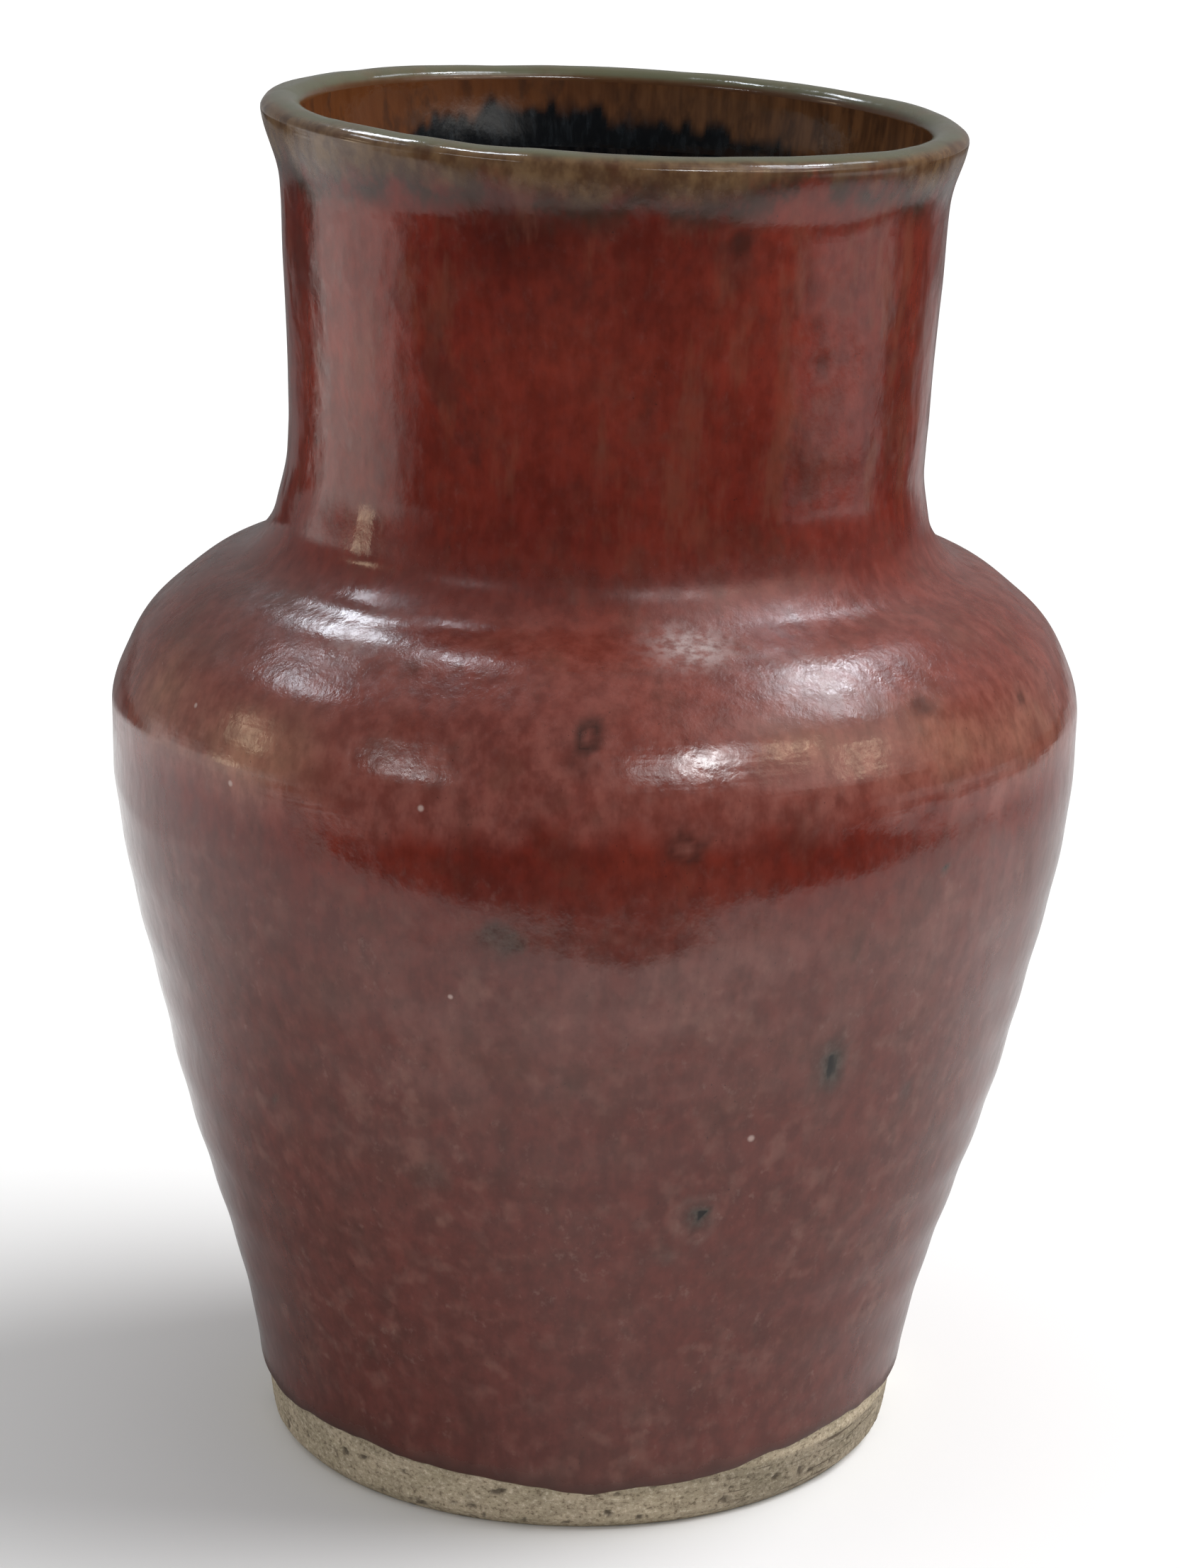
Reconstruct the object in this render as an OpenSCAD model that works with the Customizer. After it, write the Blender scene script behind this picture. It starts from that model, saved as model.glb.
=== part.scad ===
// Thrown stoneware vase. The clay body is one turned piece with a bare foot. A copper-red coat
// covers its outside, a thin green-grey coat its lip, an amber band the inside just below the lip,
// and a dark iron lining the rest of the inside. Every piece is a turning about Z.
// Millimetres, +Z up, origin on the table at the middle of the foot.

/* [Outside diameters] */
// Diameter of the bare foot where the glaze begins
foot_d = 96; // [84:0.5:108]
// Diameter partway up the lower wall, over the glaze
mid_d = 127; // [118:0.5:134]
// Diameter at the belly, over the glaze, on the crests of the rings
belly_d = 142.4; // [134:0.2:156]
// Narrowest diameter of the neck, over the glaze
neck_d = 92.6; // [80:0.2:100]
// Diameter at the top of the neck, where the lip begins, over the glaze
throat_d = 95.6; // [88:0.2:100]
// Greatest diameter of the lip, over the glaze
lip_d = 101; // [98:0.5:110]

/* [Heights] */
// Height of the bare clay band at the foot
band_h = 7; // [4:0.5:12]
// Height from the glaze line to the partway diameter
mid_h = 58; // [45:1:70]
// Height from the glaze line to the belly
lower_h = 104; // [90:1:125]
// Height from the belly to the root of the neck
shoulder_h = 30; // [24:0.5:38]
// Height from the root of the neck to its narrowest place
waist_h = 8.5; // [6:0.5:14]
// Height from the narrowest place of the neck to the lip
neck_h = 39; // [25:0.5:60]
// Height of the flared lip
lip_h = 12.5; // [9:0.5:16]

/* [Lines of the wall] */
// Lean of the wall at the glaze line, from upright, in degrees
foot_lean = 6.5; // [2:0.5:12]
// Lean of the lower wall at the partway diameter, in degrees
mid_lean = 12; // [8:0.5:17]
// Slope of the shoulder where it starts to turn up into the neck, from upright, in degrees
shoulder_slope = 67; // [50:1:75]
// Width of the hollow curve between the shoulder and the neck
hollow_w = 7.3; // [4:0.1:10]
// Height of that hollow curve
hollow_h = 8; // [5:0.5:11]
// How much wider the neck is at its root than at its narrowest
root_flare = 1.4; // [0.5:0.1:3]
// Lean of the neck at its root, in degrees
root_lean = 10; // [4:0.5:16]
// Lean of the neck where the lip begins, in degrees
throat_lean = 4; // [0:0.5:10]

/* [Lip] */
// Thickness of the lip, over the glaze
lip_t = 6; // [5:0.1:7.5]
// Drop from the rim to the widest line of the lip
lip_drop = 2.2; // [1.6:0.1:4.5]
// Distance from the widest line of the lip in to its crown
crown_in = 3.2; // [2.5:0.1:4.5]
// Outward lean of the lip at its widest line, in degrees
lip_lean = 8; // [0:0.5:14]

/* [Clay] */
// Thickness of the clay in the neck
neck_wall = 3.6; // [3:0.1:6]
// Thickness of the clay in the body
body_wall = 6; // [4:0.1:8]
// Thickness of the clay just above the rounded corner of the floor
foot_wall = 7; // [5:0.1:9]
// Thickness of the floor
floor_t = 8; // [5:0.5:12]
// Width of the rounded corner between the wall and the floor
corner_w = 14; // [8:0.5:22]
// Height of that corner above the floor
corner_h = 16; // [10:0.5:24]

/* [Foot] */
// How much smaller in radius the foot is at the bevel than at the glaze line
foot_taper = 0.8; // [0:0.1:2]
// Bevel at the bottom edge of the foot
foot_bevel = 1.7; // [0.5:0.1:3]
// Width of the flat ring that the vase stands on
ring_w = 9; // [6:0.5:16]
// Depth of the hollow turned under the foot
recess_d = 2.5; // [1:0.1:4]

/* [Glaze] */
// Thickness of the red coat
glaze_t = 0.7; // [0.4:0.05:1.2]
// Thickness of the red coat at its lower edge
edge_t = 0.4; // [0.2:0.05:0.4]
// Thickness of the coat over the lip
lip_glaze_t = 0.4; // [0.2:0.05:0.8]
// Height below the lip over which the red coat thins to that
thin_h = 12; // [6:0.5:20]
// Thickness of the dark lining
liner_t = 0.6; // [0.3:0.05:1]

/* [Throwing rings] */
// Spacing of the finger rings along the wall
ring_pitch = 11; // [7:0.5:16]
// Depth of the hollows between the rings on the lower wall
lower_ring_depth = 0.2; // [0:0.05:1]
// Depth of the hollows between the rings on the shoulder
shoulder_ring_depth = 0.8; // [0:0.05:1.2]
// Depth of the hollows between the rings on the neck
neck_ring_depth = 0.15; // [0:0.05:0.6]
// Depth of the hollows between the rings inside
inner_ring_depth = 0.8; // [0:0.05:1.2]

/* [Hidden] */
$fn = 96;

// Length of the straight pieces that a curve is made of, and the fewest between two stations
piece_l = 2;
fewest_pieces = 6;
// Reach of a curve along its end directions, as a share of the distance between its ends
curve_reach = 0.37;
// Angles from upright of a wall that runs level towards the axis, and of one that runs straight down
level_angle = -90;
down_angle = -180;

// Heights above the table
belly_z = band_h + lower_h;
root_z = belly_z + shoulder_h;
waist_z = root_z + waist_h;
throat_z = waist_z + neck_h;
rim_z = throat_z + lip_h;
floor_z = recess_d + floor_t;

// Radii of the foot's underside
base_r = foot_d / 2 - foot_taper - foot_bevel;
recess_r = base_r - ring_w;

// Stations of the clay wall, each a radius, a height and a lean from upright, in the order of a
// walk up the outside, over the lip, down the inside and along the floor
foot_line = [foot_d / 2, band_h, foot_lean];
mid_wall = [mid_d / 2 - glaze_t, band_h + mid_h, mid_lean];
belly = [belly_d / 2 - glaze_t, belly_z, 0];
root = [neck_d / 2 - glaze_t + root_flare, root_z, -root_lean];
shoulder = [root[0] + hollow_w, root_z - hollow_h, -shoulder_slope];
waist = [neck_d / 2 - glaze_t, waist_z, 0];
throat = [throat_d / 2 - lip_glaze_t, throat_z, throat_lean];
lip_edge = [lip_d / 2 - lip_glaze_t, rim_z - lip_drop, lip_lean];
lip_crown = [lip_d / 2 - crown_in, rim_z - lip_glaze_t, level_angle];
lip_inside = [lip_d / 2 - lip_t + lip_glaze_t, rim_z - lip_drop, down_angle];
throat_inside = across(throat, neck_wall);
waist_inside = across(waist, neck_wall);
root_inside = across(root, neck_wall);
shoulder_inside = across(shoulder, body_wall);
belly_inside = across(belly, body_wall);
mid_inside = across(mid_wall, body_wall);
corner_share = share(floor_z + corner_h, band_h, band_h + mid_h);
corner_inside = across(between(foot_line, mid_wall, corner_share), foot_wall);
floor_edge = [corner_inside[0] - corner_w, floor_z, level_angle];
floor_middle = [0, floor_z, level_angle];

// Depths of the hollows between the rings at heights along the wall, which fade away at its ends
outer_ring_depths = [
    [band_h, 0],
    [mid_wall[1], lower_ring_depth],
    [belly_z - ring_pitch, lower_ring_depth],
    [belly_z, shoulder_ring_depth],
    [shoulder[1], shoulder_ring_depth],
    [root_z, neck_ring_depth],
    [throat_z, 0]
];
inner_ring_depths = [
    [floor_z, 0],
    [mid_inside[1], inner_ring_depth],
    [belly_z, inner_ring_depth],
    [throat_inside[1], 0]
];

// The four stretches of the clay wall, one under each coat
outer_stations = [foot_line, mid_wall, belly, shoulder, root, waist, throat];
outer_wall = ringed(curve(outer_stations), outer_ring_depths);
lip_wall = curve([throat, lip_edge, lip_crown, lip_inside]);
inner_rim_wall = curve([lip_inside, throat_inside]);
neck_inside = [throat_inside, waist_inside, root_inside];
body_inside = [shoulder_inside, belly_inside, mid_inside, corner_inside, floor_edge];
well_wall = concat(ringed(curve(concat(neck_inside, body_inside)), inner_ring_depths), [floor_middle]);

// Direction along a lean, and the direction out of the clay square to it
function along(lean) = [sin(lean), cos(lean)];
function out_of(lean) = [cos(lean), -sin(lean)];

// Station on the inside of a wall, across from one on the outside
function across(station, wall) =
    concat(spot_of(station) - wall * out_of(station[2]), station[2] + down_angle);

// Radius and height of a station
function spot_of(station) = [station[0], station[1]];

// Station a share t of the way along the smooth curve from station a to station b
function between(a, b, t) =
    let (p0 = spot_of(a))
    let (p3 = spot_of(b))
    let (reach = curve_reach * norm(p3 - p0))
    let (p1 = p0 + reach * along(a[2]))
    let (p2 = p3 - reach * along(b[2]))
    let (u = 1 - t)
    let (place = u * u * u * p0 + 3 * u * u * t * p1 + 3 * u * t * t * p2 + t * t * t * p3)
    let (way = u * u * (p1 - p0) + 2 * u * t * (p2 - p1) + t * t * (p3 - p2))
    concat(place, atan2(way[0], way[1]));

// Number of straight pieces between two stations
function pieces(a, b) = max(fewest_pieces, ceil(norm(spot_of(b) - spot_of(a)) / piece_l));

// Smooth curve through a list of stations
function curve(stations) = concat(
    [for (i = [0:len(stations) - 2])
        let (a = stations[i])
        let (b = stations[i + 1])
        for (k = [0:pieces(a, b) - 1]) between(a, b, k / pieces(a, b))],
    [stations[len(stations) - 1]]
);

// Length of the piece after point i of a curve, which is nothing after the last point
function piece_after(path, i) = i < len(path) - 1 ? norm(spot_of(path[i + 1]) - spot_of(path[i])) : 0;

// Distance along a curve of each of its points
function runs(path) = [
    for (i = 0, run = 0; i < len(path); run = run + piece_after(path, i), i = i + 1) run
];

// The curve with a coat thickness added square to it, at one thickness for each point
function coated(path, thickness) = [for (i = [0:len(path) - 1])
    concat(spot_of(path[i]) + thickness[i] * out_of(path[i][2]), path[i][2])];

// The curve with the hollows between finger rings pressed into it, by a table of depths at heights
function ringed(path, depths) =
    let (run = runs(path))
    coated(path, [for (i = [0:len(path) - 1])
        lookup(path[i][1], depths) * (cos(360 * run[i] / ring_pitch) - 1) / 2]);

// Share, from 0 to 1, of the way that a value has come from one limit to another
function share(value, from, to) = min(1, max(0, (value - from) / (to - from)));

// Thickness of the red coat at a point of the outer wall
function red_thickness(i) =
    let (thinning = share(outer_wall[i][1], throat_z - thin_h, throat_z))
    i == 0 ? edge_t : glaze_t + thinning * (lip_glaze_t - glaze_t);

// Outline points of a curve, and the same points in the other order
function outline(path) = [for (station = path) spot_of(station)];
function backwards(points) = [for (i = [len(points) - 1:-1:0]) points[i]];

// Outline of a curve without its first point, which the stretch before it already has
function rest(path) = [for (i = [1:len(path) - 1]) spot_of(path[i])];

// Coat on a stretch of wall, at one thickness for each point
module coat(path, thickness) {
    rotate_extrude()
        polygon(concat(outline(path), backwards(outline(coated(path, thickness)))));
}

// Turned clay: the foot with its hollow, the wall, the lip and the floor
module clay_body() {
    cove = [for (turn = [0:15:90]) [recess_r - recess_d + recess_d * sin(turn), recess_d * cos(turn)]];
    foot = concat([[0, recess_d]], cove, [[base_r, 0], [base_r + foot_bevel, foot_bevel]]);
    wall = concat(outline(outer_wall), rest(lip_wall), rest(inner_rim_wall), rest(well_wall));
    color("#a59679")
        rotate_extrude()
            polygon(concat(foot, wall));
}

// Copper-red coat on the outside, from the glaze line to the lip
module outer_glaze() {
    color("#6d2a22")
        coat(outer_wall, [for (i = [0:len(outer_wall) - 1]) red_thickness(i)]);
}

// Thin green-grey coat over the lip
module lip_glaze() {
    color("#7d7a5f")
        coat(lip_wall, [for (station = lip_wall) lip_glaze_t]);
}

// Amber band inside, from the lip down to the lining, which it thickens towards
module inner_rim_glaze() {
    last = len(inner_rim_wall) - 1;
    color("#8a4f22")
        coat(inner_rim_wall, [for (i = [0:last]) lip_glaze_t + i / last * (liner_t - lip_glaze_t)]);
}

// Dark iron lining of the inside
module liner_glaze() {
    color("#1d1f26")
        coat(well_wall, [for (station = well_wall) liner_t]);
}

clay_body();
outer_glaze();
lip_glaze();
inner_rim_glaze();
liner_glaze();
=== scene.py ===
"""Looks of a thrown stoneware vase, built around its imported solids.

Lengths of the vase are millimetres until a mesh is made, and the stage is in metres. Angles round the vase
are degrees from the front, where the viewer of the photograph stands, counted to that viewer's right.
"""
import math
from types import SimpleNamespace

import bpy
import numpy as np
from mathutils import Matrix, Vector


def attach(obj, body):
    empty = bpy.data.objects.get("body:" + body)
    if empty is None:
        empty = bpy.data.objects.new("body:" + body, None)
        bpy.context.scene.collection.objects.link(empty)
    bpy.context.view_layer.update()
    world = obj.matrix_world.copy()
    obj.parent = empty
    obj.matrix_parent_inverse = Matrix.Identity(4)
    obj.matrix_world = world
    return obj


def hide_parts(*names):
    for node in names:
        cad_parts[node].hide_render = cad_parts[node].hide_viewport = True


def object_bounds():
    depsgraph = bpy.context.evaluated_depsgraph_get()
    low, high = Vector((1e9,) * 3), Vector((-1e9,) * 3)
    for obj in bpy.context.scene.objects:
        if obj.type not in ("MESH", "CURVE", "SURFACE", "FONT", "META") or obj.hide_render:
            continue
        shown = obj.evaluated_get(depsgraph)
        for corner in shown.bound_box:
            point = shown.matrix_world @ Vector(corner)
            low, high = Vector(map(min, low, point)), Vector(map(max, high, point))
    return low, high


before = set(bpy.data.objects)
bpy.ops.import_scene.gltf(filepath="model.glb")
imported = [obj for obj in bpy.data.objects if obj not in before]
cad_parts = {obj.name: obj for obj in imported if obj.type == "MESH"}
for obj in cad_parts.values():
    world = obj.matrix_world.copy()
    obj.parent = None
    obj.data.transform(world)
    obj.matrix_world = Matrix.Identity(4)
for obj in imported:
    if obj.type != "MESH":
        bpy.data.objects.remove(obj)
cad_low, cad_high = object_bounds()

MM = 0.001
# Columns round the coats and, finer, round the clay
TURNS = 384
CLAY_TURNS = 630

# Stations of the clay wall: radius, height and lean from upright in degrees, as in the solids
FOOT_LINE = (48.0, 7.0, 6.5)
MID_WALL = (62.8, 65.0, 12.0)
BELLY = (70.5, 111.0, 0.0)
SHOULDER = (54.3, 133.0, -67.0)
ROOT = (47.0, 141.0, -10.0)
WAIST = (45.6, 149.5, 0.0)
THROAT = (47.4, 188.5, 4.0)
LIP_EDGE = (50.1, 198.8, 8.0)
LIP_CROWN = (47.3, 200.6, -90.0)
LIP_INSIDE = (44.9, 198.8, -180.0)

# Height and greatest radius of the looks, from the solids' box
RIM = round(cad_high[2] / MM, 2)
WIDEST = round(min(cad_high[:2]) / MM, 2)
# Other sizes of the solids
NECK_WALL = 3.6
BODY_WALL = 6.0
FOOT_WALL = 7.0
FLOOR = 10.5
CORNER_W = 14.0
CORNER_H = 16.0
RECESS = 2.5
RING_INNER = 36.5
LIP_COAT = 0.4
RED_COAT = 0.7
DARK_COAT = 0.6
THIN_H = 12.0
PITCH = 11.0
# Reach of a curve along its end directions, as a share of the distance between its ends
CURVE_REACH = 0.37
FEWEST_PIECES = 5
# The foot's side below the glaze line: how far out and up it goes for each millimetre, and its lean
FOOT_SIDE = (0.149, 0.989, 8.6)

# Unevenness of the form as thrown: sideways lean, tilt to the right, drop of the rim and its rise to the back
LEAN_HEIGHTS = [0, 70, 92, 111, 141, 155, 185, RIM]
LEAN_STEPS = [-1.67, -0.24, -0.16, -0.2, 0.85, 1.66, 2.2, 2.26]
TILT_HEIGHTS = [105, 141, RIM]
TILTS = [0, 0.016, 0.043]
RIM_DROP = 1.95
BACK_RISE = 0.0155
# Depth of the hollows between the finger rings by height, outside and inside
RING_HEIGHTS = [7, 40, 92, 112, 119, 134, 141, 150, 188.5]
RING_DEPTHS = [0, 0.22, 0.12, 0.12, 0.24, 0.2, 0.06, 0.02, 0]
GROOVE_HEIGHTS = [FLOOR, 66, BELLY[1], THROAT[1]]
GROOVE_DEPTHS = [0, 0.8, 0.8, 0]
# Waves in the wall by height, as a share of those on the body
WAVE_HEIGHTS = [132, 146]
WAVE_SHARES = [1, 0.28]
# Swelling on the front: how far out, heights from start to end, angle and half width
SWELLING = 0.4
SWELLING_HEIGHTS = (68, 90, 90.5, 103)
SWELLING_ANGLES = (5, 7.5)
# Radii at which the noises of the wall, the lip and the inside are taken
WALL_ROUND = 60
LIP_ROUND = 48
WELL_ROUND = 55

# Numbers of the noise: a prime for each axis, a step for each seed, and two that mix the bits
AXIS_PRIMES = np.array([73856093, 19349663, 83492791], np.uint64)
SEED_STEP = 97531
MIXERS = (np.uint64(2246822519), np.uint64(3266489917))
LOW_32_BITS = np.uint64(0xFFFFFFFF)
LOW_16_BITS = np.uint64(0xFFFF)


# Numbers

def noise(points, size, seed):
    """Smooth noise from -1 to 1 at points, with features of about that size."""
    grid = points / size + 50.0
    cell = np.floor(grid)
    part = grid - cell
    blend = part * part * part * (part * (part * 6 - 15) + 10)
    cell = cell.astype(np.int64).astype(np.uint64)
    total = np.zeros(points.shape[:-1])
    for corner in range(8):
        step = np.array([corner & 1, corner >> 1 & 1, corner >> 2 & 1], np.uint64)
        bits = ((cell + step) * AXIS_PRIMES).sum(-1)
        bits = (bits + np.uint64(seed * SEED_STEP)) * MIXERS[0] & LOW_32_BITS
        bits = (bits ^ (bits >> np.uint64(15))) * MIXERS[1] & LOW_32_BITS
        bits = bits ^ (bits >> np.uint64(13))
        value = (bits & LOW_16_BITS).astype(float) / 32767.5 - 1
        total += np.where(step == 1, blend, 1 - blend).prod(-1) * value
    return total


def smooth(value, low, high):
    """0 up to low, 1 from high on, and a soft rise between them."""
    t = np.clip((value - low) / (high - low), 0, 1)
    return t * t * (3 - 2 * t)


def hump(value, start, full, still, end):
    """A soft rise from 0 to 1, and a soft fall to 0 again."""
    return smooth(value, start, full) * (1 - smooth(value, still, end))


def bell(value, middle, width):
    """1 at the middle, with a soft fall to both sides."""
    return np.exp(-((value - middle) / width) ** 2)


def turn_from(angle, start):
    """An angle counted from another one, between -180 and 180 degrees."""
    return (angle - start + 180) % 360 - 180


def angles_of(columns):
    """Angle of each column; the first one is at the back."""
    return np.arange(columns) / columns * 360 - 180


def places(angle, radius, height):
    """Points at angles from the front."""
    turn = np.radians(angle)
    return np.stack(np.broadcast_arrays(np.sin(turn) * radius, -np.cos(turn) * radius, height), -1)


def round_table(angle, table):
    """Value at an angle, from a table of angles and values that closes on itself."""
    degrees, values = np.array(sorted(table), float).T
    degrees = np.concatenate([degrees - 360, degrees, degrees + 360])
    values = np.tile(values, 3)
    before = np.searchsorted(degrees, angle, side="right") - 1
    share = smooth(angle, degrees[before], degrees[before + 1])
    return values[before] + share * (values[before + 1] - values[before])


# The thrown wall

def along(lean):
    """Direction of a wall with that lean, as steps in radius and height."""
    return np.stack([np.sin(np.radians(lean)), np.cos(np.radians(lean))], -1)


def out_of(lean):
    """Direction square to a wall with that lean, to its outside."""
    return np.stack([np.cos(np.radians(lean)), -np.sin(np.radians(lean))], -1)


def across(station, wall):
    """The station on the other side of a wall of that thickness."""
    radius, height = np.array(station[:2]) - wall * out_of(station[2])
    return (radius, height, station[2] - 180)


def between(a, b, share):
    """Radius, height and lean at shares of the way along the smooth curve from a to b."""
    p0 = np.array(a[:2])
    p3 = np.array(b[:2])
    reach = CURVE_REACH * np.linalg.norm(p3 - p0)
    p1 = p0 + reach * along(a[2])
    p2 = p3 - reach * along(b[2])
    t = np.asarray(share, float)[..., None]
    u = 1 - t
    place = u ** 3 * p0 + 3 * u * u * t * p1 + 3 * u * t * t * p2 + t ** 3 * p3
    way = u * u * (p1 - p0) + 2 * u * t * (p2 - p1) + t * t * (p3 - p2)
    return np.concatenate([place, np.degrees(np.arctan2(way[..., :1], way[..., 1:]))], -1)


def curve(stations, steps):
    """Rows of radius, height and lean along a smooth curve, with one step length for each stretch."""
    rows = []
    for a, b, step in zip(stations, stations[1:], steps):
        count = max(FEWEST_PIECES, math.ceil(math.dist(a[:2], b[:2]) / step))
        rows.append(between(a, b, np.arange(count) / count))
    return np.concatenate([*rows, [stations[-1]]])


def runs(path):
    """Distance along a path at each of its rows."""
    return np.concatenate([[0], np.cumsum(np.hypot(*np.diff(path[:, :2], axis=0).T))])


fine_wall = curve([FOOT_LINE, MID_WALL, BELLY, SHOULDER, ROOT, WAIST, THROAT], [0.25] * 6)
fine_run = runs(fine_wall)
TOP_RUN = fine_run[-1]


def wall_at(run):
    """Radius, height and lean of the smooth clay wall at distances up from the glaze line."""
    radius, height, lean = (np.interp(np.clip(run, 0, TOP_RUN), fine_run, part) for part in fine_wall.T)
    out, up, side_lean = FOOT_SIDE
    below = np.minimum(run, 0)
    return radius + below * out, height + below * up, np.where(run < 0, side_lean, lean)


def unevenness(run, height, angle):
    """How far the thrown wall stands out from its smooth line, at places on it."""
    spot = places(angle, WALL_ROUND, run)
    drift = 1.1 * noise(spot * [1, 1, 0.3], 45, 3)
    strength = 1 + 0.45 * noise(spot * [1, 1, 1.4], 30, 5)
    depth = np.interp(height, RING_HEIGHTS, RING_DEPTHS)
    rings = depth * strength * (np.cos(2 * np.pi * (run + drift) / PITCH) - 1) / 2
    fade = smooth(run, 0, 8) * np.interp(height, WAVE_HEIGHTS, WAVE_SHARES)
    waves = 0.2 * noise(spot, 34, 11) + 0.07 * noise(spot, 13, 12)
    below_belly = 0.05 * bell(height, 99, 9) * noise(spot * [1, 1, 0.5], 7, 13)
    swelling = SWELLING * hump(height, *SWELLING_HEIGHTS) * bell(angle, *SWELLING_ANGLES)
    return rings + fade * waves + below_belly + swelling


def pushed(radius, height, lean, offset):
    """Radius and height of places moved outwards, square to a wall with that lean."""
    out = out_of(lean)
    return radius + offset * out[..., 0], height + offset * out[..., 1]


def thrown(run, angle, coat=0.0):
    """Radius, height and lean of the uneven wall, or of a coat on it, at distances up the wall."""
    radius, height, lean = wall_at(run)
    return *pushed(radius, height, lean, unevenness(run, height, angle) + coat), lean


def laid(path, offset):
    """Radius and height of a path moved outwards, by an offset at each row and column."""
    return pushed(*path.T[:, :, None], offset)


def settled(points):
    """Points moved by the lean of the thrown form, which grows towards the mouth, within the solids' box."""
    x, y, z = np.moveaxis(points, -1, 0)
    share = np.clip((z - ROOT[1]) / (RIM - ROOT[1]), 0, 1)
    z = z - share * (RIM_DROP - BACK_RISE * y) - np.interp(z, TILT_HEIGHTS, TILTS) * x
    x = x + np.interp(z, LEAN_HEIGHTS, LEAN_STEPS)
    keep = np.minimum(1, WIDEST / np.maximum(np.hypot(x, y), 1e-9))
    return np.stack([x * keep, y * keep, np.minimum(z, RIM)], -1)


# Meshes

# Radius under which a row is on the axis
ON_AXIS = 1e-6
# Share of its length that a row gets in the bake where it lies against another piece
HIDDEN_SHARE = 0.12
SHARP_ANGLE = 40


def turned(name, node, blocks, shown, fields):
    """A piece turned about Z. Each block of its profile is a pair, radius and height, with a row for each
    point and a column for each angle. A row on the axis becomes one point, and a profile without one is
    closed. The first rows, as many as shown, are seen. A field is 0 on the rows that it has no values for."""
    radius, height = (np.concatenate(part) for part in zip(*blocks))
    rows, columns = radius.shape
    spots = settled(places(angles_of(columns), radius, height))
    poles = radius.max(1) < ON_AXIS
    points = []
    index = np.zeros((rows, columns), int)
    count = 0
    for i in range(rows):
        points.append(spots[i].mean(0, keepdims=True) if poles[i] else spots[i])
        index[i] = count + np.arange(columns) % len(points[-1])
        count += len(points[-1])

    length = np.hypot(*(np.diff(part.mean(1), append=part[0].mean()) for part in (radius, height)))
    length = np.where(np.arange(rows) < shown, length, HIDDEN_SHARE * length)
    level = np.concatenate([[0], np.cumsum(length)]) / length.sum()
    start = np.arange(columns) / columns
    end = np.arange(1, columns + 1) / columns
    middle = (start + end) / 2
    faces = []
    corners = []
    for i in range(rows - 1 if poles.any() else rows):
        after = (i + 1) % rows
        a, d = index[i], index[after]
        b, c = np.roll(a, -1), np.roll(d, -1)
        if poles[i]:
            ring, painted_side_light, ends = (a, c, d), (middle, end, start), (0, 1, 1)
        elif poles[after]:
            ring, painted_side_light, ends = (a, b, d), (start, end, middle), (0, 0, 1)
        else:
            ring, painted_side_light, ends = (a, b, c, d), (start, end, end, start), (0, 0, 1, 1)
        faces += np.stack(ring, -1).tolist()
        heights = np.broadcast_to(level[i + np.array(ends)], (columns, len(ends)))
        corners.append(np.stack([np.stack(painted_side_light, -1), heights], -1).ravel())

    mesh = bpy.data.meshes.new(name)
    mesh.from_pydata((np.concatenate(points) * MM).tolist(), [], faces)
    layer = mesh.uv_layers.new(name="OFBake")
    layer.uv.foreach_set("vector", np.concatenate(corners).astype(np.float32))
    for key, values in fields.items():
        padded = np.zeros((rows, columns), np.float32)
        padded[:len(values)] = values
        flat = np.concatenate([padded[i, :len(points[i])] for i in range(rows)])
        mesh.attributes.new(key, "FLOAT", "POINT").data.foreach_set("value", flat)
    mesh.shade_smooth()
    mesh.set_sharp_from_angle(angle=math.radians(SHARP_ANGLE))
    mesh.validate()
    piece = bpy.data.objects.new(name, mesh)
    bpy.context.scene.collection.objects.link(piece)
    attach(piece, "root")
    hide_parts(node)
    return piece


def coat_piece(name, node, outside, inside, fields):
    """A coat, from its faces that are seen and its faces against the clay."""
    return turned(name, node, [outside, inside], len(outside[0]), fields)


front = angles_of(TURNS)[None]
clay_front = angles_of(CLAY_TURNS)[None]
# Every third row, from the last one back
BACKWARDS = slice(None, None, -3)


# Outside coats: lines and spots

# Angle and distance up the wall of the line where the red coat ends
GLAZE_LINE = [
    (-165, 0.9), (-120, 2.1), (-65, 1.9), (-38, 2.3), (-22, 0.9), (-10, 0.5), (3, -0.5), (14, 0.1), (24, 0.6),
    (37, 2.4), (54, 3.1), (95, 1.8), (140, 0.6),
]
# Angle and height of the line where the coat turns brown below the lip
BROWN_LINE = [
    (-130, 192), (-60, 191), (-25, 193), (-8, 190.5), (5, 193), (14, 191), (28, 193.5), (60, 190), (110, 192),
    (170, 189),
]
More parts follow.
